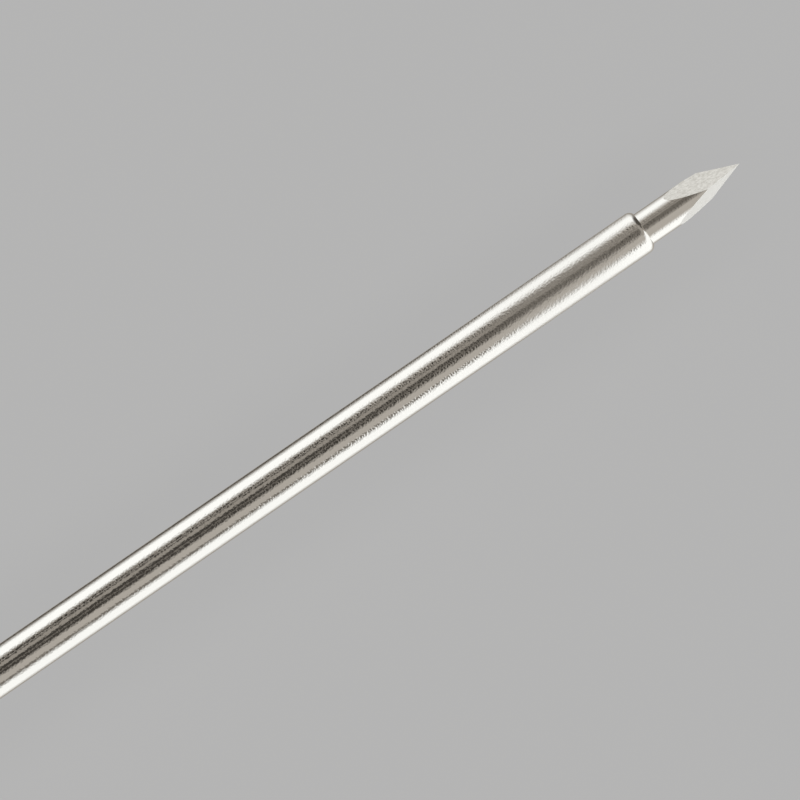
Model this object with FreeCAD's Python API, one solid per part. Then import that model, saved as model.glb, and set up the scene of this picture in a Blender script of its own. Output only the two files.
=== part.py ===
"""Reusable laparoscopic trocar of the 3 mm class, with its sharp obturator seated.

The instrument axis is X and the tip points along +X. The origin is on that axis, where
the cannula tube leaves the hub. +Z is up, and the gas stopcock stands out along +Y.
Each piece is written to parts/ as its own STEP file, in millimetres.
"""

import FreeCAD
import Part
import math
import os

Vector = FreeCAD.Vector
X_AXIS = Vector(1, 0, 0)
Y_AXIS = Vector(0, 1, 0)
Z_AXIS = Vector(0, 0, 1)

# Fits between pieces
RUNNING_GAP = 0.05        # radial, shaft in tube and in the seals
THREAD_GAP = 0.08         # radial, nut on spigot and on neck
TAPER_GAP = 0.03          # radial, stopcock plug in its seat
FACE_GAP = 0.10           # between flat faces that turn or part
SKIN = 0.5                # how far a cutting tool runs past the face it opens

# Cannula tube
TUBE_OD = 4.0
TUBE_WALL = 0.4
WORKING_LENGTH = 100.0
TUBE_SEAT_DEPTH = 12.0
TUBE_SEAT_STEP = 0.2      # how far the seated end is turned down, which leaves a shoulder
BRAZE_FILLET = 0.35
LIP_LENGTH = 0.6
LIP_LAND = 0.04           # flat left round the bore

# Obturator shaft and the facets ground on its end
TIP_REACH = 10.1
FACET_COUNT = 3
FACET_SLOPE = 12.15
FIRST_FACET_AT = 40.7     # turn round the axis, from the gas port's side
SHAFT_GRIP_DEPTH = 18.0

# Hub of the cannula
HUB_RADIUS = 7.0
NOSE_LENGTH = 9.0
NOSE_TIP_RADIUS = 3.0
HUB_BODY_LENGTH = 17.0
HUB_FLANGE_LENGTH = 3.6
RING_GROOVE_DEPTH = 0.45
RING_GROOVE_WIDTH = 1.0
CHAMBER_RADIUS = 3.0
SPIGOT_RADIUS = 5.5       # over the thread's crests
THREAD_DEPTH = 0.35
SPIGOT_LENGTH = 7.0
PILOT_RADIUS = 4.5
PILOT_LENGTH = 4.5
RING_SECTION = 1.0
RING_BED_WIDTH = 1.3
RING_INSET = 1.2

# Union between hub and valve head
FLANGE_RADIUS = 6.4
FLANGE_THICKNESS = 2.0
NECK_RADIUS = 5.3
NUT_PROUD = 0.2           # how far its crests stand over the housing
NUT_THREAD_COVER = 5.5
NUT_LIP_LENGTH = 5.8
TAILPIECE_SEAT = 4.0
TAILPIECE_BORE_RADIUS = 2.6
TAILPIECE_THROAT = 1.0

# Valve head
HOUSING_RADIUS = 9.0
HOUSING_LENGTH = 13.0
HOUSING_GROOVES_AT = (3.25, 5.85)
RIM_LENGTH = 5.0
RIM_RADIUS = 7.0
SEPTUM_THICKNESS = 2.0
SEPTUM_BORE_RADIUS = 3.1
CAVITY_RADIUS = 5.5
VALVE_FLANGE_THICKNESS = 1.5
LEAFLET_LENGTH = 4.2
LEAFLET_WALL = 0.5
LEAFLET_COUNT = 3
LEAFLET_SLIT = 0.25
WASHER_THICKNESS = 0.5
CLAMP_RING_LENGTH = 4.0
CLAMP_RING_WALL = 1.6
SPANNER_SLOT = 1.4

# Seal cap
CAP_RADIUS = 8.6
CAP_TOP = 2.2
CAP_LIP_LENGTH = 2.4
CAP_LIP_WALL = 1.1
CAP_LIP_FLARE = 0.6
CAP_BEAD = 0.5
CAP_BEAD_LENGTH = 1.5

# Handle of the obturator
FERRULE_THICKNESS = 2.5
TONGUE_WIDTH = 3.0
TONGUE_THICKNESS = 1.3
TONGUE_BITE = 2.2
GRIP_LENGTH = 22.0
GRIP_FRONT_RADIUS = 7.4
GRIP_NECK_AT = 1.25
WAIST_RADIUS = 6.0
WAIST_AT = 5.0
SHOULDER_LAND = 2.0
DOME_LENGTH = 7.5
CROWN_RADIUS = 5.0
CROSS_PIN_RADIUS = 0.8
END_CAP_RADIUS = 3.6
END_CAP_THICKNESS = 1.6
END_CAP_SLOT = 0.9

# Broad finger flutes of the hub's flange and of the grip, and fine ones round the union nut
GRIP_RADIUS = 10.0
FLUTE_COUNT = 8
FLUTE_RADIUS = 4.0
FLUTE_DEPTH = 1.5
NUT_FLUTE_COUNT = 20
NUT_FLUTE_RADIUS = 1.0
NUT_FLUTE_DEPTH = 0.5

# Stopcock, standing out of the hub's side
STOPCOCK_AT = 17.0        # behind the tube's root
ARM_ROOT_RADIUS = 3.0
ARM_ROOT_DEPTH = 3.0
COLLAR_RADIUS = 4.2
COLLAR_LENGTH = 2.4
ARM_RADIUS = 2.8
GAS_RADIUS = 1.0
PLUG_OFFSET = 9.5         # from the hub's skin to the plug's axis
BARREL_RADIUS = 4.8
BARREL_HALF_HEIGHT = 5.6
SEAT_TOP_RADIUS = 3.1
SEAT_BOTTOM_RADIUS = 2.6
ARM_BEYOND_BARREL = 4.0
STOP_PIN_RADIUS = 0.4
STOP_PIN_HEIGHT = 0.9
STOP_PIN_DEPTH = 2.0
STOP_PIN_BEARING = -135.0
TURN_ANGLE = 90.0

# Stopcock key: plug, lever and fastenings
LEVER_DISC_RADIUS = 4.6
LEVER_DISC_HEIGHT = 2.8
LEVER_LENGTH = 15.0
LEVER_ROOT_HALF_WIDTH = 1.9
LEVER_END_HALF_WIDTH = 3.0
LEVER_THICKNESS = 1.6
LEVER_DIMPLE_RADIUS = 6.0
LEVER_DIMPLE_DEPTH = 0.5
DRIVE_SQUARE = 2.6
DRIVE_GAP = 0.04
LEVER_SCREW_RADIUS = 2.1
LEVER_SCREW_HEIGHT = 0.9
LEVER_SCREW_SHANK_RADIUS = 0.8
LEVER_SCREW_SHANK_LENGTH = 3.5
STUD_RADIUS = 1.25
PLUG_WASHER_RADIUS = 3.7
PLUG_WASHER_THICKNESS = 0.4
PLUG_NUT_ACROSS_FLATS = 5.5
PLUG_NUT_HEIGHT = 2.0
SLOT_WIDTH = 0.5

# Gas port with its 6 % taper
PORT_SOCKET_DEPTH = 3.0
PORT_HEX_ACROSS_FLATS = 8.0
PORT_HEX_LENGTH = 5.0
PORT_BARREL_RADIUS = 3.0
PORT_MOUTH_RADIUS = 2.16
PORT_TAPER_DEPTH = 7.5
PORT_TAPER = 0.06
PORT_LUG_RADIUS = 3.9
PORT_LUG_LENGTH = 1.3
PORT_LUG_WIDTH = 4.4
HEX_TURNED_TO = 0.98      # its ends are turned to this share of the width across flats

# Rounded edges
FLANGE_ROUND = 0.8
NUT_ROUND = 0.8
HUB_ROUND = 0.4
HOUSING_ROUND = 0.7
CAP_ROUND = 0.7
FERRULE_ROUND = 0.5
BARREL_ROUND = 0.4
LEVER_ROUND = 0.35
SCREW_ROUND = 0.3

# What follows from those sizes
TUBE_RADIUS = TUBE_OD / 2
TUBE_BORE_RADIUS = TUBE_RADIUS - TUBE_WALL
TUBE_SEAT_RADIUS = TUBE_RADIUS - TUBE_SEAT_STEP
SHAFT_RADIUS = TUBE_BORE_RADIUS - RUNNING_GAP
TIP_X = WORKING_LENGTH + TIP_REACH
HUB_BACK_X = -(NOSE_LENGTH + HUB_BODY_LENGTH)
SPIGOT_END_X = HUB_BACK_X - SPIGOT_LENGTH
PILOT_END_X = SPIGOT_END_X - PILOT_LENGTH
PILOT_SEAT_RADIUS = PILOT_RADIUS + THREAD_GAP
NUT_FRONT_X = SPIGOT_END_X + NUT_THREAD_COVER
FLANGE_BACK_X = SPIGOT_END_X - FLANGE_THICKNESS
NUT_BACK_X = FLANGE_BACK_X - FACE_GAP - NUT_LIP_LENGTH
NUT_RADIUS = HOUSING_RADIUS + NUT_PROUD
HOUSING_FRONT_X = NUT_BACK_X - FACE_GAP
HOUSING_BACK_X = HOUSING_FRONT_X - HOUSING_LENGTH
RIM_END_X = HOUSING_BACK_X - RIM_LENGTH
CAVITY_FLOOR_X = HOUSING_FRONT_X - TAILPIECE_SEAT - SEPTUM_THICKNESS
WASHER_FRONT_X = CAVITY_FLOOR_X - VALVE_FLANGE_THICKNESS
CLAMP_FRONT_X = WASHER_FRONT_X - WASHER_THICKNESS
SEAL_HOLE_RADIUS = SHAFT_RADIUS + RUNNING_GAP
CAP_BACK_X = RIM_END_X - CAP_TOP
FERRULE_FRONT_X = CAP_BACK_X - FACE_GAP
GRIP_FRONT_X = FERRULE_FRONT_X - FERRULE_THICKNESS
GRIP_BACK_X = GRIP_FRONT_X - GRIP_LENGTH
FERRULE_RADIUS = HOUSING_RADIUS
TONGUE_BED_RADIUS = FERRULE_RADIUS - TONGUE_THICKNESS - FACE_GAP
PLUG_Y = HUB_RADIUS + PLUG_OFFSET
ARM_END_Y = PLUG_Y + BARREL_RADIUS + ARM_BEYOND_BARREL
LEVER_BASE_Z = BARREL_HALF_HEIGHT + FACE_GAP
LEVER_TOP_Z = LEVER_BASE_Z + LEVER_DISC_HEIGHT
WASHER_TOP_Z = -BARREL_HALF_HEIGHT - FACE_GAP
PLUG_NUT_TOP_Z = WASHER_TOP_Z - PLUG_WASHER_THICKNESS
STUD_END_Z = PLUG_NUT_TOP_Z - PLUG_NUT_HEIGHT
STOP_PIN_ORBIT = (BARREL_RADIUS + SEAT_TOP_RADIUS) / 2
PORT_START_Y = ARM_END_Y - PORT_SOCKET_DEPTH
PORT_THROAT_RADIUS = PORT_MOUTH_RADIUS - PORT_TAPER * PORT_TAPER_DEPTH / 2


def turned(start, *moves):
    """A turned solid about X. A move is the next (station, radius) corner, or an arc's (middle, end)."""
    edges = []
    here = Vector(start[0], start[1], 0)
    first = here
    for move in moves + (start,):
        if isinstance(move[0], tuple):
            middle, end = (Vector(x, r, 0) for x, r in move)
            edges.append(Part.Arc(here, middle, end).toShape())
        else:
            end = Vector(move[0], move[1], 0)
            if end.isEqual(here, 1e-9):
                continue
            edges.append(Part.LineSegment(here, end).toShape())
        here = end
    assert here.isEqual(first, 1e-9)
    return Part.Face(Part.Wire(edges)).revolve(Vector(0, 0, 0), X_AXIS, 360)


def eased(corner, flat_end):
    """The middle of the arc that leaves a corner and comes in parallel to X at its other end."""
    run, rise = corner[0] - flat_end[0], corner[1] - flat_end[1]
    radius = (run ** 2 + rise ** 2) / (2 * rise)
    slope = math.atan(rise / run)
    return (flat_end[0] + radius * math.sin(slope), flat_end[1] + radius * (1 - math.cos(slope)))


def ring(back_x, front_x, inner, outer):
    """A plain ring about X between two stations."""
    return turned((back_x, inner), (front_x, inner), (front_x, outer), (back_x, outer))


def rod(radius, start, direction, length):
    """A round bar, used for pins and as a drill."""
    return Part.makeCylinder(radius, length, start, direction)


def block(low, high):
    """A box between two corners."""
    size = high - low
    return Part.makeBox(size.x, size.y, size.z, low)


def along(shape, direction, at=Vector(0, 0, 0)):
    """A shape made about X, turned to lie along another direction and set down at a point."""
    shape.Placement = FreeCAD.Placement(at, FreeCAD.Rotation(X_AXIS, direction))
    return shape


def on_circles(shape, *places):
    """The circular edges of a turned shape that lie at the given (station, radius) places."""
    found = []
    for edge in shape.Edges:
        curve = edge.Curve
        if not isinstance(curve, Part.Circle):
            continue
        centred = math.hypot(curve.Center.y, curve.Center.z) < 1e-6
        for x, radius in places:
            if centred and abs(curve.Center.x - x) < 1e-6 and abs(curve.Radius - radius) < 1e-6:
                found.append(edge)
    return found


def rounded(shape, radius, *places):
    """Rounds a turned shape's rims at the given (station, radius) places."""
    return shape.makeFillet(radius, on_circles(shape, *places))


def fluted(shape, crest_radius, back_x, front_x, count, radius, depth):
    """Cuts flutes round a crest between two stations. One lies at the bottom, between two feet."""
    centre = crest_radius + radius - depth
    for i in range(count):
        angle = 2 * math.pi * (i / count - 0.25)
        start = Vector(back_x, centre * math.cos(angle), centre * math.sin(angle))
        shape = shape.cut(rod(radius, start, X_AXIS, front_x - back_x))
    return shape


def ring_groove(shape, middle_x, skin_radius):
    """Turns a shallow groove round a skin of the given radius."""
    half = RING_GROOVE_WIDTH / 2
    bed = skin_radius - RING_GROOVE_DEPTH
    return shape.cut(ring(middle_x - half, middle_x + half, bed, skin_radius + SKIN))


def hexagon(across_flats, length):
    """A hexagonal bar along X with its corners to the sides."""
    corner = across_flats / math.sqrt(3)
    turns = [math.pi * i / 3 for i in range(7)]
    corners = [Vector(0, corner * math.cos(turn), corner * math.sin(turn)) for turn in turns]
    return Part.Face(Part.makePolygon(corners)).extrude(X_AXIS * length)


def tongue_way(back_x, front_x):
    """The groove along the top of the head that the handle's tongue slides in."""
    half = TONGUE_WIDTH / 2 + FACE_GAP
    reach = max(HOUSING_RADIUS, CAP_RADIUS) + SKIN
    return block(Vector(back_x, -half, TONGUE_BED_RADIUS), Vector(front_x, half, reach))


# Cannula

def cannula_tube():
    """Thin drawn tube, its seated end turned down to a shoulder and its far lip rounded over."""
    lip_start = (WORKING_LENGTH - LIP_LENGTH, TUBE_RADIUS)
    lip_end = (WORKING_LENGTH, TUBE_BORE_RADIUS + LIP_LAND)
    return turned(
        (-TUBE_SEAT_DEPTH, TUBE_SEAT_RADIUS),
        (0, TUBE_SEAT_RADIUS),
        (0, TUBE_RADIUS),
        lip_start,
        (eased(lip_end, lip_start), lip_end),
        (WORKING_LENGTH, TUBE_BORE_RADIUS),
        (-TUBE_SEAT_DEPTH, TUBE_BORE_RADIUS),
    )


def cannula_hub():
    """Turned hub: nose brazed to the tube, gas chamber, fluted flange, spigot and the head's pilot.

    The spigot is as wide as the root of its thread, and the thread itself is left off.
    """
    nose_start = (-BRAZE_FILLET, NOSE_TIP_RADIUS)
    nose_end = (-NOSE_LENGTH, HUB_RADIUS)
    flange_x = HUB_BACK_X + HUB_FLANGE_LENGTH
    chamber_x = -TUBE_SEAT_DEPTH
    thread_root = SPIGOT_RADIUS - THREAD_DEPTH
    hub = turned(
        (PILOT_END_X, CHAMBER_RADIUS),
        (chamber_x, CHAMBER_RADIUS),
        (chamber_x, TUBE_SEAT_RADIUS),
        (0, TUBE_SEAT_RADIUS),
        (0, TUBE_RADIUS),
        (-BRAZE_FILLET, TUBE_RADIUS + BRAZE_FILLET),
        nose_start,
        (eased(nose_start, nose_end), nose_end),
        (flange_x, HUB_RADIUS),
        (flange_x, GRIP_RADIUS),
        (HUB_BACK_X, GRIP_RADIUS),
        (HUB_BACK_X, thread_root),
        (SPIGOT_END_X, thread_root),
        (SPIGOT_END_X, PILOT_RADIUS),
        (PILOT_END_X, PILOT_RADIUS),
    )
    hub = rounded(hub, FLANGE_ROUND, (HUB_BACK_X, GRIP_RADIUS), (flange_x, GRIP_RADIUS))
    hub = rounded(hub, HUB_ROUND, (flange_x, HUB_RADIUS), (PILOT_END_X, PILOT_RADIUS))
    hub = fluted(hub, GRIP_RADIUS, HUB_BACK_X - SKIN, flange_x + SKIN,
                 FLUTE_COUNT, FLUTE_RADIUS, FLUTE_DEPTH)
    hub = ring_groove(hub, nose_end[0] - RING_GROOVE_WIDTH, HUB_RADIUS)
    bed = PILOT_RADIUS - RING_SECTION + RUNNING_GAP
    front = SPIGOT_END_X - RING_INSET
    hub = hub.cut(ring(front - RING_BED_WIDTH, front, bed, PILOT_RADIUS + SKIN))
    root = Vector(-STOPCOCK_AT, HUB_RADIUS - ARM_ROOT_DEPTH, 0)
    hub = hub.cut(rod(ARM_ROOT_RADIUS, root, Y_AXIS, ARM_ROOT_DEPTH + SKIN))
    return hub.cut(rod(GAS_RADIUS, Vector(-STOPCOCK_AT, 0, 0), Y_AXIS, HUB_RADIUS))


def hub_seal_ring():
    """Round-section ring in the pilot's groove, which keeps gas from leaking past the union."""
    middle = PILOT_RADIUS + RUNNING_GAP - RING_SECTION / 2
    centre = Vector(SPIGOT_END_X - RING_INSET - RING_BED_WIDTH / 2, 0, 0)
    return Part.makeTorus(middle, RING_SECTION / 2, centre, X_AXIS)


# Union

def union_tailpiece():
    """Flanged sleeve pressed into the housing. The nut draws its flange against the spigot."""
    leaflet_room = SEPTUM_BORE_RADIUS
    back_x = HOUSING_FRONT_X - TAILPIECE_SEAT
    step_x = PILOT_END_X - FACE_GAP
    throat_x = step_x - TAILPIECE_THROAT
    return turned(
        (SPIGOT_END_X, PILOT_SEAT_RADIUS),
        (SPIGOT_END_X, FLANGE_RADIUS),
        (FLANGE_BACK_X, FLANGE_RADIUS),
        (FLANGE_BACK_X, NECK_RADIUS),
        (back_x, NECK_RADIUS),
        (back_x, leaflet_room),
        (throat_x, leaflet_room),
        (throat_x, TAILPIECE_BORE_RADIUS),
        (step_x, TAILPIECE_BORE_RADIUS),
        (step_x, PILOT_SEAT_RADIUS),
    )


def union_nut():
    """Fluted captive nut: it turns on the tailpiece's neck and screws onto the hub's spigot."""
    seat_x = FLANGE_BACK_X - FACE_GAP
    thread_bore = SPIGOT_RADIUS + THREAD_GAP
    flange_bore = FLANGE_RADIUS + THREAD_GAP
    neck_bore = NECK_RADIUS + THREAD_GAP
    nut = turned(
        (NUT_FRONT_X, thread_bore),
        (SPIGOT_END_X + FACE_GAP, thread_bore),
        (SPIGOT_END_X + FACE_GAP, flange_bore),
        (seat_x, flange_bore),
        (seat_x, neck_bore),
        (NUT_BACK_X, neck_bore),
        (NUT_BACK_X, NUT_RADIUS),
        (NUT_FRONT_X, NUT_RADIUS),
    )
    nut = rounded(nut, NUT_ROUND, (NUT_BACK_X, NUT_RADIUS), (NUT_FRONT_X, NUT_RADIUS))
    return fluted(nut, NUT_RADIUS, NUT_BACK_X - SKIN, NUT_FRONT_X + SKIN,
                  NUT_FLUTE_COUNT, NUT_FLUTE_RADIUS, NUT_FLUTE_DEPTH)


# Valve head

def valve_housing():
    """Turned body of the head, with a septum for the valve and a rim that the seal cap grips."""
    seat_x = HOUSING_FRONT_X - TAILPIECE_SEAT
    housing = turned(
        (HOUSING_FRONT_X, NECK_RADIUS),
        (HOUSING_FRONT_X, HOUSING_RADIUS),
        (HOUSING_BACK_X, HOUSING_RADIUS),
        (HOUSING_BACK_X, RIM_RADIUS),
        (RIM_END_X, RIM_RADIUS),
        (RIM_END_X, CAVITY_RADIUS),
        (CAVITY_FLOOR_X, CAVITY_RADIUS),
        (CAVITY_FLOOR_X, SEPTUM_BORE_RADIUS),
        (seat_x, SEPTUM_BORE_RADIUS),
        (seat_x, NECK_RADIUS),
    )
    rims = (HOUSING_FRONT_X, HOUSING_RADIUS), (HOUSING_BACK_X, HOUSING_RADIUS)
    housing = rounded(housing, HOUSING_ROUND, *rims)
    for station in HOUSING_GROOVES_AT:
        housing = ring_groove(housing, HOUSING_FRONT_X - station, HOUSING_RADIUS)
    way_end_x = HOUSING_BACK_X + TONGUE_BITE + FACE_GAP
    return housing.cut(tongue_way(HOUSING_BACK_X - SKIN, way_end_x))


def leaflet_valve():
    """Moulded silicone valve: a clamped flange, and a funnel slit into leaflets that the shaft parts."""
    root = SEPTUM_BORE_RADIUS - RUNNING_GAP
    tip_x = CAVITY_FLOOR_X + LEAFLET_LENGTH
    tip_outer = SEAL_HOLE_RADIUS + LEAFLET_WALL
    valve = turned(
        (WASHER_FRONT_X, root - LEAFLET_WALL),
        (WASHER_FRONT_X, CAVITY_RADIUS - RUNNING_GAP),
        (CAVITY_FLOOR_X, CAVITY_RADIUS - RUNNING_GAP),
        (CAVITY_FLOOR_X, root),
        (tip_x, tip_outer),
        (tip_x, SEAL_HOLE_RADIUS),
        (CAVITY_FLOOR_X, root - LEAFLET_WALL),
    )
    half = LEAFLET_SLIT / 2
    slit = block(Vector(CAVITY_FLOOR_X + SKIN, -half, 0), Vector(tip_x + SKIN, half, CAVITY_RADIUS))
    for i in range(LEAFLET_COUNT):
        cutter = slit.copy()
        cutter.rotate(Vector(0, 0, 0), X_AXIS, 360 * i / LEAFLET_COUNT)
        valve = valve.cut(cutter)
    return valve


def valve_washer():
    """Thin washer that lets the clamp ring turn without dragging the silicone round."""
    inner = SEPTUM_BORE_RADIUS - RUNNING_GAP
    return ring(CLAMP_FRONT_X, WASHER_FRONT_X, inner, CAVITY_RADIUS - RUNNING_GAP)


def valve_clamp_ring():
    """Screwed ring that clamps the valve, with two slots for a pin spanner."""
    back_x = CLAMP_FRONT_X - CLAMP_RING_LENGTH
    clamp = ring(back_x, CLAMP_FRONT_X, CAVITY_RADIUS - CLAMP_RING_WALL, CAVITY_RADIUS)
    half = SPANNER_SLOT / 2
    low = Vector(back_x - SKIN, -CAVITY_RADIUS - SKIN, -half)
    high = Vector(back_x + SPANNER_SLOT, CAVITY_RADIUS + SKIN, half)
    return clamp.cut(block(low, high))


def seal_cap():
    """Silicone cap over the housing's rim. Its lipped hole wipes round the shaft."""
    grip_radius = RIM_RADIUS + RUNNING_GAP
    skirt_x = HOUSING_BACK_X - FACE_GAP
    bead = (skirt_x - CAP_BEAD_LENGTH, CAP_RADIUS - CAP_BEAD)
    bead_crest = (skirt_x - CAP_BEAD_LENGTH / 2, CAP_RADIUS)
    lip_x = RIM_END_X + CAP_LIP_LENGTH
    lip_outer = SEAL_HOLE_RADIUS + CAP_LIP_WALL
    cap = turned(
        (CAP_BACK_X, SEAL_HOLE_RADIUS),
        (CAP_BACK_X, bead[1]),
        bead,
        (eased(bead, bead_crest), bead_crest),
        (skirt_x, CAP_RADIUS),
        (skirt_x, grip_radius),
        (RIM_END_X, grip_radius),
        (RIM_END_X, lip_outer + CAP_LIP_FLARE),
        (lip_x, lip_outer),
        (lip_x, SEAL_HOLE_RADIUS),
    )
    cap = rounded(cap, CAP_ROUND, (CAP_BACK_X, bead[1]))
    return cap.cut(tongue_way(CAP_BACK_X - SKIN, skirt_x + SKIN))


# Obturator

def obturator_shaft():
    """Solid shaft whose end is ground to three like facets that meet in a point on the axis."""
    back_x = GRIP_FRONT_X - SHAFT_GRIP_DEPTH
    shaft = rod(SHAFT_RADIUS, Vector(back_x, 0, 0), X_AXIS, TIP_X - back_x)
    apex = Vector(TIP_X, 0, 0)
    tilt = math.radians(FACET_SLOPE)
    reach = 2 * SHAFT_RADIUS / math.tan(tilt)
    for facet in range(FACET_COUNT):
        stone = Part.makeBox(2 * reach, 2 * reach, reach, Vector(-reach, -reach, 0))
        round_axis = math.radians(FIRST_FACET_AT + facet * 360 / FACET_COUNT)
        side = math.cos(tilt)
        normal = Vector(math.sin(tilt), side * math.cos(round_axis), side * math.sin(round_axis))
        stone.Placement = FreeCAD.Placement(apex, FreeCAD.Rotation(Z_AXIS, normal))
        shaft = shaft.cut(stone)
    return shaft.cut(cross_pin_hole())


def cross_pin_hole():
    """The drill for the pin that ties the shaft to the grip, through the waist."""
    start = Vector(GRIP_FRONT_X - WAIST_AT, -GRIP_RADIUS, 0)
    return rod(CROSS_PIN_RADIUS, start, Y_AXIS, 2 * GRIP_RADIUS)


def handle_cross_pin():
    """Dowel flush with the waist on both sides."""
    length = 2 * WAIST_RADIUS
    start = Vector(GRIP_FRONT_X - WAIST_AT, -WAIST_RADIUS, 0)
    return rod(CROSS_PIN_RADIUS, start, Y_AXIS, length)


def handle_ferrule():
    """Collar that seats on the cap. Its tongue keeps the tip from turning in the cannula."""
    collar = ring(GRIP_FRONT_X, FERRULE_FRONT_X, SHAFT_RADIUS, FERRULE_RADIUS)
    collar = rounded(collar, FERRULE_ROUND, (GRIP_FRONT_X, FERRULE_RADIUS))
    half = TONGUE_WIDTH / 2
    end_x = HOUSING_BACK_X + TONGUE_BITE
    low = Vector(FERRULE_FRONT_X - FERRULE_THICKNESS / 2, -half, FERRULE_RADIUS - TONGUE_THICKNESS)
    tongue = block(low, Vector(end_x, half, FERRULE_RADIUS))
    tongue = tongue.common(rod(FERRULE_RADIUS, Vector(low.x, 0, 0), X_AXIS, end_x - low.x))
    return collar.fuse(tongue).removeSplitter()


def handle_grip():
    """Palm grip turned from bar, waisted behind the ferrule, fluted at its shoulder, domed at the end."""
    neck = (GRIP_FRONT_X - GRIP_NECK_AT, GRIP_FRONT_RADIUS)
    waist = (GRIP_FRONT_X - WAIST_AT + CROSS_PIN_RADIUS, WAIST_RADIUS)
    waist_end = (GRIP_FRONT_X - WAIST_AT - CROSS_PIN_RADIUS, WAIST_RADIUS)
    land_end = (GRIP_BACK_X + DOME_LENGTH, GRIP_RADIUS)
    shoulder = (land_end[0] + SHOULDER_LAND, GRIP_RADIUS)
    turn = ((waist_end[0] + shoulder[0]) / 2, (waist_end[1] + shoulder[1]) / 2)
    crown = (GRIP_BACK_X, CROWN_RADIUS)
    grip = turned(
        (GRIP_FRONT_X, 0),
        (GRIP_FRONT_X, GRIP_FRONT_RADIUS),
        neck,
        (eased(neck, waist), waist),
        waist_end,
        (eased(turn, waist_end), turn),
        (eased(turn, shoulder), shoulder),
        land_end,
        (eased(crown, land_end), crown),
        (GRIP_BACK_X, 0),
    )
    grip = fluted(grip, GRIP_RADIUS, GRIP_BACK_X - SKIN, waist_end[0],
                  FLUTE_COUNT, FLUTE_RADIUS, FLUTE_DEPTH)
    bore_x = GRIP_FRONT_X - SHAFT_GRIP_DEPTH
    grip = grip.cut(rod(SHAFT_RADIUS, Vector(bore_x, 0, 0), X_AXIS, SHAFT_GRIP_DEPTH + SKIN))
    recess = rod(END_CAP_RADIUS, Vector(GRIP_BACK_X - SKIN, 0, 0), X_AXIS, END_CAP_THICKNESS + SKIN)
    return grip.cut(recess).cut(cross_pin_hole())


def handle_end_cap():
    """Slotted disc screwed flush into the grip's crown."""
    disc = rod(END_CAP_RADIUS, Vector(GRIP_BACK_X, 0, 0), X_AXIS, END_CAP_THICKNESS)
    half = END_CAP_SLOT / 2
    low = Vector(GRIP_BACK_X - SKIN, -END_CAP_RADIUS, -half)
    return disc.cut(block(low, Vector(GRIP_BACK_X + END_CAP_SLOT, END_CAP_RADIUS, half)))


# Stopcock body

def plug_axis(z):
    """A point on the plug's axis at a height."""
    return Vector(-STOPCOCK_AT, PLUG_Y, z)


def seat_cone(gap, top_z, bottom_z):
    """The seat's taper between two heights, taken in by a gap: the reamer, or the plug that fits it."""
    height = 2 * BARREL_HALF_HEIGHT
    rise = (SEAT_TOP_RADIUS - SEAT_BOTTOM_RADIUS) / height
    middle = (SEAT_TOP_RADIUS + SEAT_BOTTOM_RADIUS) / 2
    low_radius, high_radius = (middle + rise * z - gap for z in (bottom_z, top_z))
    return Part.makeCone(low_radius, high_radius, top_z - bottom_z, plug_axis(bottom_z), Z_AXIS)


def stopcock_body():
    """Arm and barrel in one casting, with its root let into the hub and saddled to the hub's skin."""
    root = Vector(-STOPCOCK_AT, HUB_RADIUS - ARM_ROOT_DEPTH, 0)
    collar_length = ARM_ROOT_DEPTH + COLLAR_LENGTH
    hub_skin = rod(HUB_RADIUS, Vector(-STOPCOCK_AT - HUB_RADIUS, 0, 0), X_AXIS, 2 * HUB_RADIUS)
    collar = rod(COLLAR_RADIUS, root, Y_AXIS, collar_length).cut(hub_skin)
    collar = collar.fuse(rod(ARM_ROOT_RADIUS, root, Y_AXIS, collar_length))
    arm = rod(ARM_RADIUS, root, Y_AXIS, ARM_END_Y - root.y)
    barrel = rod(BARREL_RADIUS, plug_axis(-BARREL_HALF_HEIGHT), Z_AXIS, 2 * BARREL_HALF_HEIGHT)
    body = collar.fuse(arm).fuse(barrel).removeSplitter()
    rims = [e for e in body.Edges if isinstance(e.Curve, Part.Circle)
            and abs(abs(e.Curve.Center.z) - BARREL_HALF_HEIGHT) < 1e-6]
    body = body.makeFillet(BARREL_ROUND, rims)
    body = body.cut(rod(GAS_RADIUS, root - Y_AXIS * SKIN, Y_AXIS, ARM_END_Y - root.y + 2 * SKIN))
    body = body.cut(seat_cone(0, BARREL_HALF_HEIGHT + SKIN, -BARREL_HALF_HEIGHT - SKIN))
    return body.cut(stop_pin_shape())


def stop_pin_shape():
    """The dowel between the open and the closed position of the lever's notch."""
    angle = math.radians(STOP_PIN_BEARING)
    spot = Vector(STOP_PIN_ORBIT * math.cos(angle), STOP_PIN_ORBIT * math.sin(angle), 0)
    foot = plug_axis(BARREL_HALF_HEIGHT - STOP_PIN_DEPTH) + spot
    return rod(STOP_PIN_RADIUS, foot, Z_AXIS, STOP_PIN_DEPTH + STOP_PIN_HEIGHT)


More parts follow.
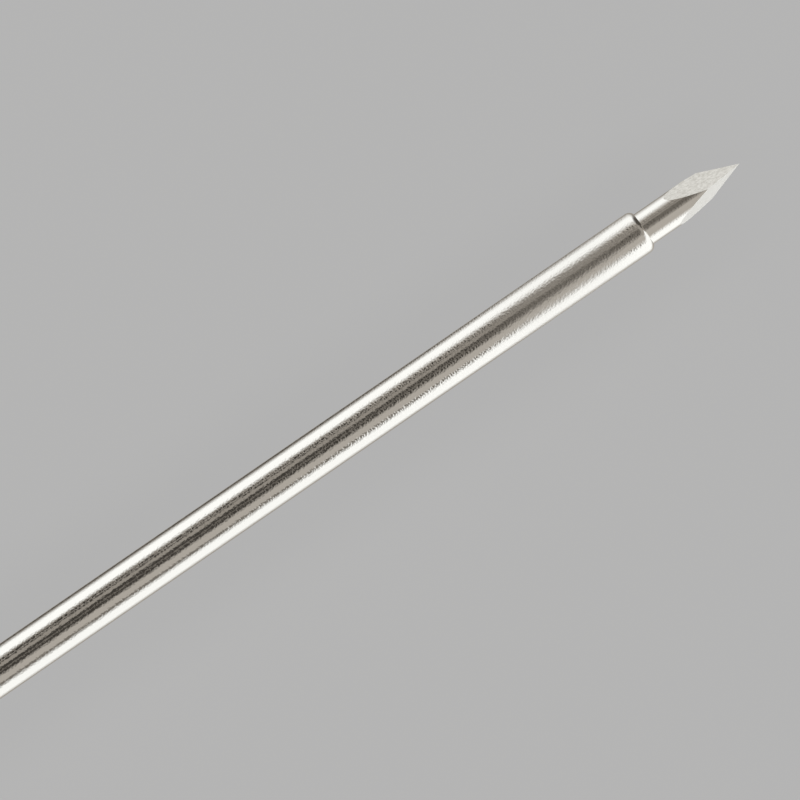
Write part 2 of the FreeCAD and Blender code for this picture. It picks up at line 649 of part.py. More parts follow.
def gas_port():
    """Hexagonal socket on the arm's end, then a lugged barrel with the standard conical bore."""
    corner = PORT_HEX_ACROSS_FLATS / math.sqrt(3)
    chamfer = corner - HEX_TURNED_TO * PORT_HEX_ACROSS_FLATS / 2
    turned_ends = rod(corner, Vector(0, 0, 0), X_AXIS, PORT_HEX_LENGTH)
    rims = on_circles(turned_ends, (0, corner), (PORT_HEX_LENGTH, corner))
    turned_ends = turned_ends.makeChamfer(chamfer, rims)
    wrench_flats = hexagon(PORT_HEX_ACROSS_FLATS, PORT_HEX_LENGTH).common(turned_ends)
    length = PORT_HEX_LENGTH + PORT_TAPER_DEPTH
    barrel = rod(PORT_BARREL_RADIUS, Vector(0, 0, 0), X_AXIS, length)
    flange = rod(PORT_LUG_RADIUS, Vector(length - PORT_LUG_LENGTH, 0, 0), X_AXIS, PORT_LUG_LENGTH)
    half = PORT_LUG_WIDTH / 2
    lug_band = block(Vector(0, -PORT_LUG_RADIUS, -half), Vector(length, PORT_LUG_RADIUS, half))
    port = wrench_flats.fuse(barrel).fuse(flange.common(lug_band))
    port = port.cut(rod(ARM_RADIUS, Vector(-SKIN, 0, 0), X_AXIS, PORT_SOCKET_DEPTH + SKIN))
    port = port.cut(rod(GAS_RADIUS, Vector(0, 0, 0), X_AXIS, length))
    taper = Part.makeCone(PORT_THROAT_RADIUS, PORT_MOUTH_RADIUS, PORT_TAPER_DEPTH,
                          Vector(PORT_HEX_LENGTH, 0, 0), X_AXIS)
    return along(port.cut(taper), Y_AXIS, Vector(-STOPCOCK_AT, PORT_START_Y, 0))


# Stopcock key

def stopcock_plug():
    """Lapped taper plug with its cross bore, a square for the lever and a stud for the nut."""
    plug = seat_cone(TAPER_GAP, BARREL_HALF_HEIGHT, -BARREL_HALF_HEIGHT)
    half = DRIVE_SQUARE / 2
    square = block(plug_axis(BARREL_HALF_HEIGHT) - Vector(half, half, 0),
                   plug_axis(LEVER_TOP_Z - SLOT_WIDTH) + Vector(half, half, 0))
    stud = rod(STUD_RADIUS, plug_axis(STUD_END_Z), Z_AXIS, -BARREL_HALF_HEIGHT - STUD_END_Z)
    bore = rod(GAS_RADIUS, plug_axis(0) - X_AXIS * BARREL_RADIUS, X_AXIS, 2 * BARREL_RADIUS)
    screw_end = plug_axis(LEVER_TOP_Z - LEVER_SCREW_SHANK_LENGTH)
    tapped = rod(LEVER_SCREW_SHANK_RADIUS, screw_end, Z_AXIS, LEVER_SCREW_SHANK_LENGTH)
    return plug.fuse(square).fuse(stud).cut(bore).cut(tapped)


def stopcock_lever():
    """Paddle lever over a notched disc. It points along the shaft when the gas is shut off."""
    disc = rod(LEVER_DISC_RADIUS, Vector(0, 0, 0), Z_AXIS, LEVER_DISC_HEIGHT)
    end = LEVER_LENGTH - LEVER_END_HALF_WIDTH
    root_left, root_right = (Vector(0, s * LEVER_ROOT_HALF_WIDTH, 0) for s in (1, -1))
    end_left, end_right = (Vector(end, s * LEVER_END_HALF_WIDTH, 0) for s in (1, -1))
    outline = Part.Wire([
        Part.LineSegment(root_left, end_left).toShape(),
        Part.Arc(end_left, Vector(LEVER_LENGTH, 0, 0), end_right).toShape(),
        Part.LineSegment(end_right, root_right).toShape(),
        Part.LineSegment(root_right, root_left).toShape(),
    ])
    paddle = Part.Face(outline).extrude(Z_AXIS * LEVER_THICKNESS)
    paddle.translate(Z_AXIS * (LEVER_DISC_HEIGHT - LEVER_THICKNESS))
    lever = disc.fuse(paddle).removeSplitter()
    rims = [e for e in lever.Edges if abs(e.BoundBox.ZMin - LEVER_DISC_HEIGHT) < 1e-6]
    lever = lever.makeFillet(LEVER_ROUND, rims)
    dimple_top = LEVER_DISC_HEIGHT - LEVER_DIMPLE_DEPTH + LEVER_DIMPLE_RADIUS
    lever = lever.cut(Part.makeSphere(LEVER_DIMPLE_RADIUS, Vector(end, 0, dimple_top)))
    half = DRIVE_SQUARE / 2 + DRIVE_GAP
    lever = lever.cut(block(Vector(-half, -half, -SKIN), Vector(half, half, LEVER_DISC_HEIGHT + SKIN)))
    lever = lever.cut(stop_notch())
    lever.translate(plug_axis(LEVER_BASE_Z))
    return lever


def stop_notch():
    """The quarter-turn notch in the disc's skirt, as wide as the turn plus the stop pin."""
    play = STOP_PIN_RADIUS + FACE_GAP
    inner = STOP_PIN_ORBIT - play
    side = math.degrees(math.asin(play / STOP_PIN_ORBIT))
    height = SKIN + STOP_PIN_HEIGHT
    sweep = TURN_ANGLE + 2 * side
    notch = Part.makeCylinder(LEVER_DISC_RADIUS + SKIN, height, Vector(0, 0, -SKIN), Z_AXIS, sweep)
    notch = notch.cut(rod(inner, Vector(0, 0, -SKIN), Z_AXIS, height))
    notch.rotate(Vector(0, 0, 0), Z_AXIS, STOP_PIN_BEARING - TURN_ANGLE - side)
    return notch


def lever_screw():
    """Slotted cheese-head screw that holds the lever down on the plug."""
    head = rod(LEVER_SCREW_RADIUS, Vector(0, 0, 0), Z_AXIS, LEVER_SCREW_HEIGHT)
    rims = [e for e in head.Edges if abs(e.BoundBox.ZMin - LEVER_SCREW_HEIGHT) < 1e-6]
    head = head.makeFillet(SCREW_ROUND, rims)
    low = Vector(-SLOT_WIDTH / 2, -LEVER_SCREW_RADIUS, LEVER_SCREW_HEIGHT - SLOT_WIDTH)
    head = head.cut(block(low, Vector(SLOT_WIDTH / 2, LEVER_SCREW_RADIUS, LEVER_SCREW_HEIGHT + SKIN)))
    shank_end = -Z_AXIS * LEVER_SCREW_SHANK_LENGTH
    screw = head.fuse(rod(LEVER_SCREW_SHANK_RADIUS, shank_end, Z_AXIS, LEVER_SCREW_SHANK_LENGTH))
    screw.translate(plug_axis(LEVER_TOP_Z))
    return screw


def plug_spring_washer():
    """Washer that keeps the plug drawn into its seat."""
    start = plug_axis(WASHER_TOP_Z - PLUG_WASHER_THICKNESS)
    washer = rod(PLUG_WASHER_RADIUS, start, Z_AXIS, PLUG_WASHER_THICKNESS)
    return washer.cut(rod(STUD_RADIUS, start, Z_AXIS, PLUG_WASHER_THICKNESS))


def plug_nut():
    """Thin hexagonal nut on the plug's stud."""
    nut = hexagon(PLUG_NUT_ACROSS_FLATS, PLUG_NUT_HEIGHT)
    nut = nut.cut(rod(STUD_RADIUS, Vector(0, 0, 0), X_AXIS, PLUG_NUT_HEIGHT))
    return along(nut, Z_AXIS, plug_axis(STUD_END_Z))


PIECES = {
    "cannula_tube": cannula_tube,
    "cannula_hub": cannula_hub,
    "hub_seal_ring": hub_seal_ring,
    "stopcock_body": stopcock_body,
    "stopcock_stop_pin": stop_pin_shape,
    "gas_port": gas_port,
    "stopcock_plug": stopcock_plug,
    "stopcock_lever": stopcock_lever,
    "lever_screw": lever_screw,
    "plug_spring_washer": plug_spring_washer,
    "plug_nut": plug_nut,
    "union_nut": union_nut,
    "union_tailpiece": union_tailpiece,
    "valve_housing": valve_housing,
    "leaflet_valve": leaflet_valve,
    "valve_washer": valve_washer,
    "valve_clamp_ring": valve_clamp_ring,
    "seal_cap": seal_cap,
    "obturator_shaft": obturator_shaft,
    "handle_ferrule": handle_ferrule,
    "handle_grip": handle_grip,
    "handle_cross_pin": handle_cross_pin,
    "handle_end_cap": handle_end_cap,
}

os.makedirs("parts", exist_ok=True)
for name, make in PIECES.items():
    piece = make()
    assert piece.isValid() and piece.Volume > 0, name
    piece.exportStep(f"parts/{name}.step")
    print(f"{name}: {piece.Volume:.1f} mm3, {len(piece.Solids)} solid")
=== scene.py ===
"""Looks of the laparoscopic trocar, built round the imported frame. Lengths are in metres."""

import math

import bmesh
import bpy
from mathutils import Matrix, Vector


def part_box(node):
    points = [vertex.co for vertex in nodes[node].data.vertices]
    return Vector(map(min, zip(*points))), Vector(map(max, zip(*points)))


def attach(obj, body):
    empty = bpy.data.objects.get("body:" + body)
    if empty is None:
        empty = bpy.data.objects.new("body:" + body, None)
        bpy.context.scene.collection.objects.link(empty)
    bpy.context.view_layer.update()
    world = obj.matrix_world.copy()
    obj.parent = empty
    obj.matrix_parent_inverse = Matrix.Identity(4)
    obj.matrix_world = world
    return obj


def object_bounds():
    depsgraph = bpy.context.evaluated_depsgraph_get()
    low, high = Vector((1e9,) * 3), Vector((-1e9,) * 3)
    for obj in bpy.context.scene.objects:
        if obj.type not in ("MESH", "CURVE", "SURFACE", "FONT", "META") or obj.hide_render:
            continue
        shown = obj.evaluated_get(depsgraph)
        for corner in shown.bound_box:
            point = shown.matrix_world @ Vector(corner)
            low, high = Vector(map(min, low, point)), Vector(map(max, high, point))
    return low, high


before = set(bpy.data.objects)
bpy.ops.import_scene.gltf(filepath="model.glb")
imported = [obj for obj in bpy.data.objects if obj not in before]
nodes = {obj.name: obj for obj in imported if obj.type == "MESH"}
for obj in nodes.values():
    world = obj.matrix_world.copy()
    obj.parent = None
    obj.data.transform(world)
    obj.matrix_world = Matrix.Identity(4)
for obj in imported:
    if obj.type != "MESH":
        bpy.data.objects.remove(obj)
cad_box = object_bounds()
MM = 0.001

# Camera
# The photograph looks straight down on the far end of the tube through a long lens. The
# point of the obturator and the tube's slope across the picture fix where it stands.
FRAME_PX = 800
TIP_PX = (739.23, 163.58)
TUBE_SLOPE = math.radians(34.48)
PX_PER_MM = 11.5
LENS_PX = 6500
SENSOR_MM = 36

tip_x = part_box("obturator_shaft")[1].x
right, up = TIP_PX[0] - FRAME_PX / 2, FRAME_PX / 2 - TIP_PX[1]
along = (right * math.cos(TUBE_SLOPE) + up * math.sin(TUBE_SLOPE)) / PX_PER_MM * MM
aside = (up * math.cos(TUBE_SLOPE) - right * math.sin(TUBE_SLOPE)) / PX_PER_MM * MM
lens = bpy.data.cameras.new("camera")
lens.sensor_width = SENSOR_MM
lens.lens = LENS_PX / FRAME_PX * SENSOR_MM
lens.clip_start, lens.clip_end = 0.05, 10
camera = bpy.data.objects.new("camera", lens)
camera.location = (tip_x - along, -aside, LENS_PX / PX_PER_MM * MM)
camera.rotation_euler = (0, 0, -TUBE_SLOPE)
bpy.context.scene.collection.objects.link(camera)
bpy.context.scene.camera = camera
bpy.context.scene.view_settings.view_transform = "Standard"

# Floor
# A plain sheet of pale grey board, level with the crests of the flange and the grip that the
# trocar lies on. Most of its brightness is its own glow, which keeps it as even as the
# photograph's background.
BOARD_HALF = 3.0
BOARD_GREY = 0.458
BOARD_GLOW = 0.85
BOARD_ROUGHNESS = 0.9
BOARD_SHEEN = 0.1

board = bpy.data.meshes.new("floor")
floor_z = cad_box[0].z
corners = ((-1, -1), (1, -1), (1, 1), (-1, 1))
board.from_pydata([(x * BOARD_HALF, y * BOARD_HALF, floor_z) for x, y in corners], [], [(0, 1, 2, 3)])
floor = bpy.data.objects.new("floor", board)
bpy.context.scene.collection.objects.link(floor)
floor.visible_glossy = False
paper = bpy.data.materials.new("grey_board")
paper.use_nodes = True
paper_face = paper.node_tree.nodes["Principled BSDF"]
paper_grey = BOARD_GREY * (1 - BOARD_GLOW)
paper_face.inputs["Base Color"].default_value = (paper_grey, paper_grey, paper_grey, 1)
paper_face.inputs["Roughness"].default_value = BOARD_ROUGHNESS
paper_face.inputs["Specular IOR Level"].default_value = BOARD_SHEEN
paper_face.inputs["Emission Color"].default_value = (BOARD_GREY, BOARD_GREY, BOARD_GREY, 1)
paper_face.inputs["Emission Strength"].default_value = BOARD_GLOW
board.materials.append(paper)

# Light tent
# Long white walls, a grey roof with the camera's slit in it, and dark gaps between: what polished
# steel shows as stripes along the tube. A panel runs between two directions round X, counted
# from straight up towards -Y, with its brightness. They stand differently at the tent's two ends.
HANDLE_END = ((-180, -157, 0.28), (-152, -145, 0.05), (-139, -133, 0.21), (-104, -69, 1.10),
              (-54, -50, 0.26), (-47, -44, 0.03), (-41, -39, 0.34), (-36, -34, 0.03), (-30, -19, 0.31),
              (-12, -3, 0.05), (0, 2, 0.18), (4, 12, 0.05), (25, 49, 0.45), (55, 60, 0.18), (80, 121, 1.06),
              (152, 180, 0.36))
TIP_END = ((-180, -152, 0.33), (-104, -80, 1.08), (-48, -45, 0.42), (-41, -38, 0.25), (-35, -33, 0.38),
           (-29, -26, 0.20), (-23, -20, 0.27), (-13, 2, 0.16), (27, 46, 0.46), (69, 121, 1.12),
           (153, 180, 0.42))
FLAG = ((-180, -66, 0.08), (-38, -14, 0.34), (14, 30, 0.36), (64, 140, 1.10), (172, 180, 0.08))
# How far a ray leans to X where one set goes over to the next. Only slanting faces mirror the flag.
TIP_END_FROM, TIP_END_TO = -0.001, 0.040
FLAG_FROM, FLAG_TO = 0.48, 0.74
WARM = (1.0, 0.90, 0.78)
CLEAN = (1.0, 1.01, 1.0)
WARMTH_FALL = 1.5
BACKDROP = BOARD_GREY

tent = bpy.data.worlds.new("light_tent")
tent.use_nodes = True
wiring = tent.node_tree
wiring.nodes.clear()


def wire(tree, kind, values=(), **settings):
    """A new shader node: values go to its inputs in order, and a value may be another node's output."""
    node = tree.nodes.new(kind)
    for name, value in settings.items():
        setattr(node, name, value)
    for i, value in enumerate(values):
        if isinstance(value, bpy.types.NodeSocket):
            tree.links.new(value, node.inputs[i])
        else:
            node.inputs[i].default_value = value
    return node


def reckon(tree, operation, *values):
    """The output of a maths node."""
    return wire(tree, "ShaderNodeMath", values, operation=operation).outputs[0]


def share_of(tree, value, first, last, blend="LINEAR"):
    """How far a value has gone from the first bound to the last, held between 0 and 1."""
    values = (value, first, last, 0.0, 1.0)
    return wire(tree, "ShaderNodeMapRange", values, interpolation_type=blend).outputs[0]


def shade_strip(tree, where, stations):
    """A colour strip read at a place from 0 to 1. Stations are (place, colour)."""
    strip = wire(tree, "ShaderNodeValToRGB", (where,))
    for _ in stations[2:]:
        strip.color_ramp.elements.new(0.5)
    for element, (place, colour) in zip(strip.color_ramp.elements, stations):
        element.position = place
        element.color = (*colour, 1)
    return strip.outputs[0]


outward = wire(wiring, "ShaderNodeTexCoord").outputs["Generated"]
heading = wire(wiring, "ShaderNodeSeparateXYZ", (outward,)).outputs
toward_near = reckon(wiring, "MULTIPLY", heading["Y"], -1.0)
turn = reckon(wiring, "ARCTAN2", toward_near, heading["Z"])
turn = reckon(wiring, "MULTIPLY_ADD", turn, 0.5 / math.pi, 0.5)


def along_tent(panels):
    """The tent's panels at one end, going over into each other. Its greys are warm and its whites clean."""
    stations = []
    for first, last, level in panels:
        share = min(level, 1) ** WARMTH_FALL
        colour = tuple(level * (warm + (clean - warm) * share) for warm, clean in zip(WARM, CLEAN))
        stations += [(first / 360 + 0.5, colour), (last / 360 + 0.5, colour)]
    return shade_strip(wiring, turn, stations)


def colour_mix(tree, share, plain, other):
    """One colour going over to another. Either may be a node's output."""
    mix = wire(tree, "ShaderNodeMix", data_type="RGBA")
    for socket, value in ((0, share), (6, plain), (7, other)):
        if isinstance(value, bpy.types.NodeSocket):
            tree.links.new(value, mix.inputs[socket])
        else:
            mix.inputs[socket].default_value = value
    return mix.outputs[2]


tipward = share_of(wiring, heading["X"], TIP_END_FROM, TIP_END_TO)
flagward = share_of(wiring, heading["X"], FLAG_FROM, FLAG_TO)
walls = colour_mix(wiring, tipward, along_tent(HANDLE_END), along_tent(TIP_END))
walls = colour_mix(wiring, flagward, walls, along_tent(FLAG))
lit = wire(wiring, "ShaderNodeBackground", (walls, 1.0))
seen = wire(wiring, "ShaderNodeBackground", ((BACKDROP, BACKDROP, BACKDROP, 1), 1.0))
ray = wire(wiring, "ShaderNodeLightPath").outputs["Is Camera Ray"]
either = wire(wiring, "ShaderNodeMixShader", (ray, lit.outputs[0], seen.outputs[0]))
wire(wiring, "ShaderNodeOutputWorld", (either.outputs[0],))
bpy.context.scene.world = tent

# Overhead lamp
# A broad silk over the table. It lights the board and the matt pieces evenly and is kept out
# of the reflections, which belong to the tent.
SILK_SIDE = 1.6
SILK_HEIGHT = 1.1
SILK_WATTS = 13.0
SILK_X = 0.03

silk = bpy.data.lights.new("silk", "AREA")
silk.shape = "SQUARE"
silk.size = SILK_SIDE
silk.energy = SILK_WATTS
overhead = bpy.data.objects.new("silk", silk)
overhead.location = (SILK_X, 0.0, SILK_HEIGHT)
overhead.visible_glossy = False
bpy.context.scene.collection.objects.link(overhead)

# Cannula tube
# Drawn stainless tube, centreless ground and polished. The wheel leaves a faint ripple under
# the polish, which frays the edges of each reflection, and the stretch that goes through the
# wound has been dulled and finely scuffed by use.
TUBE_RIPPLE = 0.17 * MM
TUBE_RIPPLE_HEIGHT = 0.0095 * MM
TUBE_TINT = (0.90, 0.885, 0.855)
TUBE_POLISH = 0.06
DULLED_AT = (0.080, 0.089, 0.0945, 0.100)     # begins, full from, full to, clean again at the lip
DULLED_BY = 0.19
SCUFF = 0.20 * MM
SCUFF_HEIGHT = 0.020 * MM


def metal(name, tint, roughness):
    """A bare metal: its material, its node tree, its surface node and the place on the part."""
    made = bpy.data.materials.new(name)
    made.use_nodes = True
    tree = made.node_tree
    face = tree.nodes["Principled BSDF"]
    face.inputs["Metallic"].default_value = 1.0
    face.inputs["Base Color"].default_value = (*tint, 1)
    face.inputs["Roughness"].default_value = roughness
    place = wire(tree, "ShaderNodeTexCoord").outputs["Object"]
    return made, tree, face, place


def grain(tree, place, size, detail=2.0, roughness=0.5, stretch=(1, 1, 1)):
    """Noise of a feature size, drawn out along the axes by the stretch."""
    scale = tuple(1 / (size * s) for s in stretch)
    sized = wire(tree, "ShaderNodeVectorMath", (place, scale), operation="MULTIPLY").outputs[0]
    noise = wire(tree, "ShaderNodeTexNoise", noise_dimensions="3D")
    tree.links.new(sized, noise.inputs["Vector"])
    noise.inputs["Scale"].default_value = 1.0
    noise.inputs["Detail"].default_value = detail
    noise.inputs["Roughness"].default_value = roughness
    return noise.outputs["Fac"]


def raise_face(tree, face, heights):
    """Bumps a surface by several (height map, metres) in turn."""
    normal = None
    for height, metres in heights:
        bump = wire(tree, "ShaderNodeBump")
        bump.inputs["Distance"].default_value = metres
        bump.inputs["Strength"].default_value = 1.0
        tree.links.new(height, bump.inputs["Height"])
        if normal:
            tree.links.new(normal, bump.inputs["Normal"])
        normal = bump.outputs[0]
    tree.links.new(normal, face.inputs["Normal"])


def dress(node, material):
    """Gives a node of the frame its finish."""
    for slot in nodes[node].material_slots:
        slot.material = material


tube_steel, tree, face, place = metal("tube_steel", TUBE_TINT, TUBE_POLISH)
station = wire(tree, "ShaderNodeSeparateXYZ", (place,)).outputs["X"]
far, full, worn, clear = DULLED_AT
rise = share_of(tree, station, far, full, "SMOOTHSTEP")
fall = share_of(tree, station, clear, worn, "SMOOTHSTEP")
dulled = reckon(tree, "MULTIPLY", rise, fall)
tree.links.new(reckon(tree, "MULTIPLY_ADD", dulled, DULLED_BY, TUBE_POLISH), face.inputs["Roughness"])
ripple = grain(tree, place, TUBE_RIPPLE, detail=0.0)
scuffs = reckon(tree, "MULTIPLY", grain(tree, place, SCUFF, detail=1.0), dulled)
raise_face(tree, face, [(ripple, TUBE_RIPPLE_HEIGHT), (scuffs, SCUFF_HEIGHT)])
dress("cannula_tube", tube_steel)

# Obturator shaft
# Solid stainless bar, polished like the tube and pinned in the handle, with three facets ground
# on its end and left matt by the fine wheel. Each facet's colour is painted by which way it faces: the
# one that faces +Y has a blotchy grain and is painted darker as painted shade, and the others are
# painted near white as painted light. A facet is told from the round by its lean to the tip.
SHAFT_TINT = TUBE_TINT
SHAFT_POLISH = 0.08
# Painted light and painted shade: near white for the facets that don't face +Y, and two darker greys for
# the one that does
LIT_FACET_TINT = (1.0, 1.0, 0.98)
SHADED_FACET_DARK = (0.57, 0.55, 0.51)
SHADED_FACET_LIGHT = (0.79, 0.77, 0.73)
MOTTLE = 0.20 * MM
MOTTLE_EDGES = (0.35, 0.65)
GROUND_ROUGHNESS = 0.36
MOTTLE_ROUGHNESS = 0.10
WIDE_SMOOTHER = 0.08
WHEEL_MARK = 0.10 * MM
WHEEL_MARK_HEIGHT = 0.008 * MM
FACET_LEAN = 0.08

shaft_steel, tree, face, place = metal("shaft_steel", SHAFT_TINT, SHAFT_POLISH)
outside = wire(tree, "ShaderNodeTexCoord").outputs["Normal"]
facing = wire(tree, "ShaderNodeSeparateXYZ", (outside,)).outputs
on_facet = reckon(tree, "GREATER_THAN", facing["X"], FACET_LEAN)
# Picks the facet that faces +Y, whose colour is painted darker as painted shade
on_shaded_facet = reckon(tree, "GREATER_THAN", facing["Y"], 0.0)
marks = grain(tree, place, WHEEL_MARK, roughness=0.65, stretch=(2.2, 1, 1))
mottle = grain(tree, place, MOTTLE, roughness=0.6, stretch=(1.6, 1, 1))
mottle = share_of(tree, mottle, *MOTTLE_EDGES)
facet_rough = reckon(tree, "MULTIPLY_ADD", mottle, MOTTLE_ROUGHNESS, GROUND_ROUGHNESS)
facet_rough = reckon(tree, "MULTIPLY_ADD", on_shaded_facet, -WIDE_SMOOTHER, facet_rough)
rough = wire(tree, "ShaderNodeMix", data_type="FLOAT")
rough.inputs[2].default_value = SHAFT_POLISH
tree.links.new(on_facet, rough.inputs[0])
tree.links.new(facet_rough, rough.inputs[3])
tree.links.new(rough.outputs[0], face.inputs["Roughness"])
# Painted shade on the +Y facet, blotchy between its two greys, and painted light on the other facets
shaded_facet_colour = colour_mix(tree, mottle, (*SHADED_FACET_DARK, 1), (*SHADED_FACET_LIGHT, 1))
painted_facet_colours = colour_mix(tree, on_shaded_facet, (*LIT_FACET_TINT, 1), shaded_facet_colour)
tree.links.new(colour_mix(tree, on_facet, (*SHAFT_TINT, 1), painted_facet_colours), face.inputs["Base Color"])
ripple = grain(tree, place, TUBE_RIPPLE, detail=0.0)
marked = reckon(tree, "MULTIPLY", marks, on_facet)
raise_face(tree, face, [(ripple, TUBE_RIPPLE_HEIGHT / 2), (marked, WHEEL_MARK_HEIGHT)])
dress("obturator_shaft", shaft_steel)

# Hub, housing, nut and other turned steel
# Bar stock turned on the lathe and left satin: the tool's fine rings run round the axis, and the
# finish is a little uneven where it has been washed. Gloves have rubbed the fluted crests bright.
SATIN_TINT = (0.66, 0.655, 0.64)
SATIN_ROUGHNESS = 0.30
SMEAR = 2.2 * MM
SMEAR_ROUGHNESS = 0.22
SMEAR_DULL, SMEAR_CLEAN = 0.86, 1.1
TOOL_PITCH = 0.11 * MM
TOOL_WOBBLE = 0.35 * MM
TOOL_WOBBLE_RUN = 4 * MM
TOOL_RING_HEIGHT = 0.0012 * MM
TORN_GRAIN = 0.12 * MM
RUBBED = 0.10
RUBBED_TINT = 0.5
FLANGE_CREST_BAND = (9.2 * MM, 9.9 * MM)
NUT_CREST_BAND = (8.85 * MM, 9.18 * MM)


def shaded(tint, share):
    """A tint made lighter or darker by a share, as a node's colour."""
    return (*(min(1, share * part) for part in tint), 1)


def off_axis(tree, place):
    """How far a place is from the instrument's axis."""
    across = wire(tree, "ShaderNodeVectorMath", (place, (0, 1, 1)), operation="MULTIPLY").outputs[0]
    return wire(tree, "ShaderNodeVectorMath", (across,), operation="LENGTH").outputs["Value"]


def rub_crests(tree, face, place, band, colour, rough):
    """Brightens and smooths what stands out between two radii, or leaves the surface as it is."""
    if band:
        rubbed = share_of(tree, off_axis(tree, place), *band)
        rough = reckon(tree, "MULTIPLY_ADD", rubbed, -RUBBED, rough)
        colour = colour_mix(tree, reckon(tree, "MULTIPLY", rubbed, RUBBED_TINT), colour, (*TUBE_TINT, 1))
    tree.links.new(rough, face.inputs["Roughness"])
    tree.links.new(colour, face.inputs["Base Color"])


def turned_steel(name, crests=None):
    """Satin steel with the lathe's rings along X."""
    made, tree, face, place = metal(name, SATIN_TINT, SATIN_ROUGHNESS)
    station = wire(tree, "ShaderNodeSeparateXYZ", (place,)).outputs["X"]
    wobble = reckon(tree, "MULTIPLY", grain(tree, place, TOOL_WOBBLE_RUN), TOOL_WOBBLE)
    phase = reckon(tree, "MULTIPLY", reckon(tree, "ADD", station, wobble), 2 * math.pi / TOOL_PITCH)
    rings = reckon(tree, "SINE", phase)
    smears = grain(tree, place, SMEAR, detail=4.0, roughness=0.6, stretch=(1, 2, 2))
    rough = reckon(tree, "MULTIPLY_ADD", smears, SMEAR_ROUGHNESS, SATIN_ROUGHNESS - SMEAR_ROUGHNESS / 2)
    torn = grain(tree, place, TORN_GRAIN)
    raise_face(tree, face, [(rings, TOOL_RING_HEIGHT), (torn, 2 * TOOL_RING_HEIGHT)])
    tint = colour_mix(tree, smears, shaded(SATIN_TINT, SMEAR_DULL), shaded(SATIN_TINT, SMEAR_CLEAN))
    rub_crests(tree, face, place, crests, tint, rough)
    return made


satin = turned_steel("satin_steel")
for node in ("union_tailpiece", "valve_housing", "valve_clamp_ring"):
    dress(node, satin)
dress("cannula_hub", turned_steel("hub_steel", FLANGE_CREST_BAND))
dress("union_nut", turned_steel("nut_steel", NUT_CREST_BAND))

# Union thread
# A single-start thread chased on the lathe: one ridge winds round the hub's spigot, and the
# nut's own ridge runs half a pitch behind it, so that they pass each other as the nut turns.
THREAD_LEAD = 1.5 * MM
THREAD_STEPS = 48
THREAD_FOOT = 0.95 * MM
THREAD_CREST = 0.22 * MM
THREAD_SUNK = 0.03 * MM
THREAD_INSET = 0.6 * MM
RUN_OUT = 0.3
SPIGOT_ROOT = 5.15 * MM
SPIGOT_CREST = 5.50 * MM
SPIGOT_TURNS = 3.7
NUT_ROOT = 5.58 * MM
NUT_CREST = 5.24 * MM
NUT_TURNS = 2.4


def thread_ridge(name, first_x, turns, root, crest):
    """A ridge of trapezoid section wound round X from a station, faded into its root at both ends."""
    mesh = bmesh.new()
    sections = []
    foot = root - math.copysign(THREAD_SUNK, crest - root)
    for step in range(round(turns * THREAD_STEPS) + 1):
        wound = step / THREAD_STEPS
        fade = min(1, wound / RUN_OUT, (turns - wound) / RUN_OUT)
        top = root + (crest - root) * max(0, fade)
        x = first_x + THREAD_LEAD * wound
        side, height = math.cos(2 * math.pi * wound), math.sin(2 * math.pi * wound)
        corners = ((-THREAD_FOOT, foot), (-THREAD_CREST, top), (THREAD_CREST, top), (THREAD_FOOT, foot))
        sections.append([mesh.verts.new((x + width / 2, r * side, r * height)) for width, r in corners])
    for here, there in zip(sections, sections[1:]):
        for i in range(4):
            mesh.faces.new((here[i], here[(i + 1) % 4], there[(i + 1) % 4], there[i]))
    mesh.faces.new(sections[0])
    mesh.faces.new(reversed(sections[-1]))
    bmesh.ops.recalc_face_normals(mesh, faces=mesh.faces)
    ridge = bpy.data.meshes.new(name)
    mesh.to_mesh(ridge)
    mesh.free()
    made = bpy.data.objects.new(name, ridge)
    bpy.context.scene.collection.objects.link(made)
    made.data.materials.append(satin)
    return made


thread_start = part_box("union_tailpiece")[1].x + THREAD_INSET
spigot_thread = thread_ridge("spigot_thread", thread_start, SPIGOT_TURNS, SPIGOT_ROOT, SPIGOT_CREST)
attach(spigot_thread, "cannula")
nut_thread = thread_ridge("nut_thread", thread_start + THREAD_LEAD / 2, NUT_TURNS, NUT_ROOT, NUT_CREST)
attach(nut_thread, "union_nut")

# Handle
# Heavier steel pieces, glass-bead blasted so that a wet glove holds them: a soft even grey
# with a fine sparkle, rubbed smoother on the shoulder. The grip is pinned to the shaft.
BEAD = 0.13 * MM
BEAD_HEIGHT = 0.02 * MM
BLASTED_TINT = (0.52, 0.515, 0.505)
BLASTED_ROUGHNESS = 0.36
CLOUD = 3 * MM
CLOUD_ROUGHNESS = 0.14
CLOUD_DULL, CLOUD_CLEAN = 0.90, 1.08
SHOULDER_BAND = (9.0 * MM, 10.0 * MM)

blasted, tree, face, place = metal("blasted_steel", BLASTED_TINT, BLASTED_ROUGHNESS)
raise_face(tree, face, [(grain(tree, place, BEAD, detail=3.0, roughness=0.7), BEAD_HEIGHT)])
clouds = grain(tree, place, CLOUD, detail=3.0)
rough = reckon(tree, "MULTIPLY_ADD", clouds, CLOUD_ROUGHNESS, BLASTED_ROUGHNESS)
tint = colour_mix(tree, clouds, shaded(BLASTED_TINT, CLOUD_DULL), shaded(BLASTED_TINT, CLOUD_CLEAN))
rub_crests(tree, face, place, SHOULDER_BAND, tint, rough)
for node in ("handle_grip", "handle_ferrule"):
    dress(node, blasted)

# Handle end cap
# Stainless disc screwed into the crown. Its face was cut in the lathe in one pass, which leaves
# fine rings round its middle, and it is dulled by the same blasting as the grip round it.
FACED_TINT = (0.60, 0.59, 0.57)
FACED_ROUGHNESS = 0.24
FACING_PITCH = 0.16 * MM
FACING_HEIGHT = 0.003 * MM
FACED_BEAD_HEIGHT = 0.004 * MM

faced, tree, face, place = metal("faced_steel", FACED_TINT, FACED_ROUGHNESS)
turns = reckon(tree, "MULTIPLY", off_axis(tree, place), 2 * math.pi / FACING_PITCH)
rings = reckon(tree, "SINE", turns)
raise_face(tree, face, [(rings, FACING_HEIGHT), (grain(tree, place, BEAD), FACED_BEAD_HEIGHT)])
dress("handle_end_cap", faced)

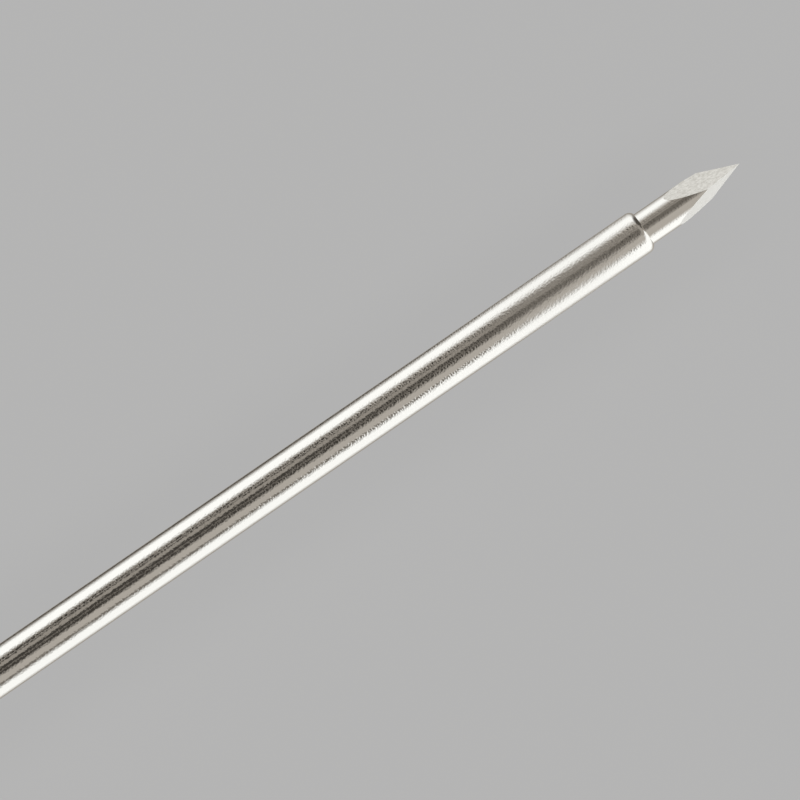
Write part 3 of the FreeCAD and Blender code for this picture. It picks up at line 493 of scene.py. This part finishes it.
# Stopcock and gas port
# Brass castings, machined and plated bright nickel, with a lapped plug and a paddle lever. The
# casting's skin still shows a little through the plate, and handling has hazed it in places.
NICKEL_TINT = (0.80, 0.785, 0.75)
PLATE_POLISH = 0.07
CAST_SKIN = 0.5 * MM
CAST_SKIN_HEIGHT = 0.006 * MM
HAZE = 2.5 * MM
HAZE_ROUGHNESS = 0.16

plated, tree, face, place = metal("bright_nickel", NICKEL_TINT, PLATE_POLISH)
raise_face(tree, face, [(grain(tree, place, CAST_SKIN, detail=3.0, roughness=0.6), CAST_SKIN_HEIGHT)])
hazed = reckon(tree, "MULTIPLY_ADD", grain(tree, place, HAZE, detail=3.0), HAZE_ROUGHNESS, PLATE_POLISH)
tree.links.new(hazed, face.inputs["Roughness"])
for node in ("stopcock_body", "gas_port", "stopcock_plug", "stopcock_lever"):
    dress(node, plated)

# Pins, screws and washers
# Small stainless hardware as bought, bright from the die: two pressed-in pins, a screw, a nut
# and two washers.
BRIGHT_TINT = (0.62, 0.61, 0.59)
BRIGHT_ROUGHNESS = 0.22
DIE_GRAIN = 0.2 * MM
DIE_GRAIN_HEIGHT = 0.004 * MM

bright, tree, face, place = metal("bright_hardware", BRIGHT_TINT, BRIGHT_ROUGHNESS)
raise_face(tree, face, [(grain(tree, place, DIE_GRAIN, detail=3.0), DIE_GRAIN_HEIGHT)])
for node in ("stopcock_stop_pin", "lever_screw", "plug_spring_washer", "plug_nut", "valve_washer",
             "handle_cross_pin"):
    dress(node, bright)

# Seals
# Moulded pieces: the blue silicone cap that wipes the shaft, snapped over the rim, the milky
# leaflet valve held in the housing by its clamp ring, and the black rubber ring of the union.
# Each one's colour, its roughness and how much light goes into it
CAP_SILICONE = (0.055, 0.16, 0.27), 0.48, 0.08
LEAFLET_SILICONE = (0.72, 0.72, 0.68), 0.42, 0.3
RING_RUBBER = (0.02, 0.02, 0.02), 0.4, 0.0
MOULDED_SHEEN = 0.45
BLOOM = 1.4 * MM
BLOOM_ROUGHNESS = 0.2
BLOOM_DARK = 0.86
BLOOM_PALE, BLOOM_LIFT = 1.18, 0.01
LIGHT_REACH = 1.2 * MM
MOULD_GRAIN = 0.15 * MM
MOULD_GRAIN_HEIGHT = 0.006 * MM


def moulded(name, colour, roughness, translucency):
    """Moulded rubber with a faint bloom on its skin."""
    made, tree, face, place = metal(name, colour, roughness)
    face.inputs["Metallic"].default_value = 0.0
    face.inputs["Specular IOR Level"].default_value = MOULDED_SHEEN
    face.inputs["Subsurface Weight"].default_value = translucency
    face.inputs["Subsurface Scale"].default_value = LIGHT_REACH
    bloom = grain(tree, place, BLOOM, detail=4.0, roughness=0.6)
    pale = (*(min(1, BLOOM_PALE * part + BLOOM_LIFT) for part in colour), 1)
    tree.links.new(colour_mix(tree, bloom, shaded(colour, BLOOM_DARK), pale), face.inputs["Base Color"])
    rough = reckon(tree, "MULTIPLY_ADD", bloom, BLOOM_ROUGHNESS, roughness - BLOOM_ROUGHNESS / 2)
    tree.links.new(rough, face.inputs["Roughness"])
    raise_face(tree, face, [(grain(tree, place, MOULD_GRAIN, detail=3.0), MOULD_GRAIN_HEIGHT)])
    return made


dress("seal_cap", moulded("blue_silicone", *CAP_SILICONE))
dress("leaflet_valve", moulded("milky_silicone", *LEAFLET_SILICONE))
dress("hub_seal_ring", moulded("black_rubber", *RING_RUBBER))
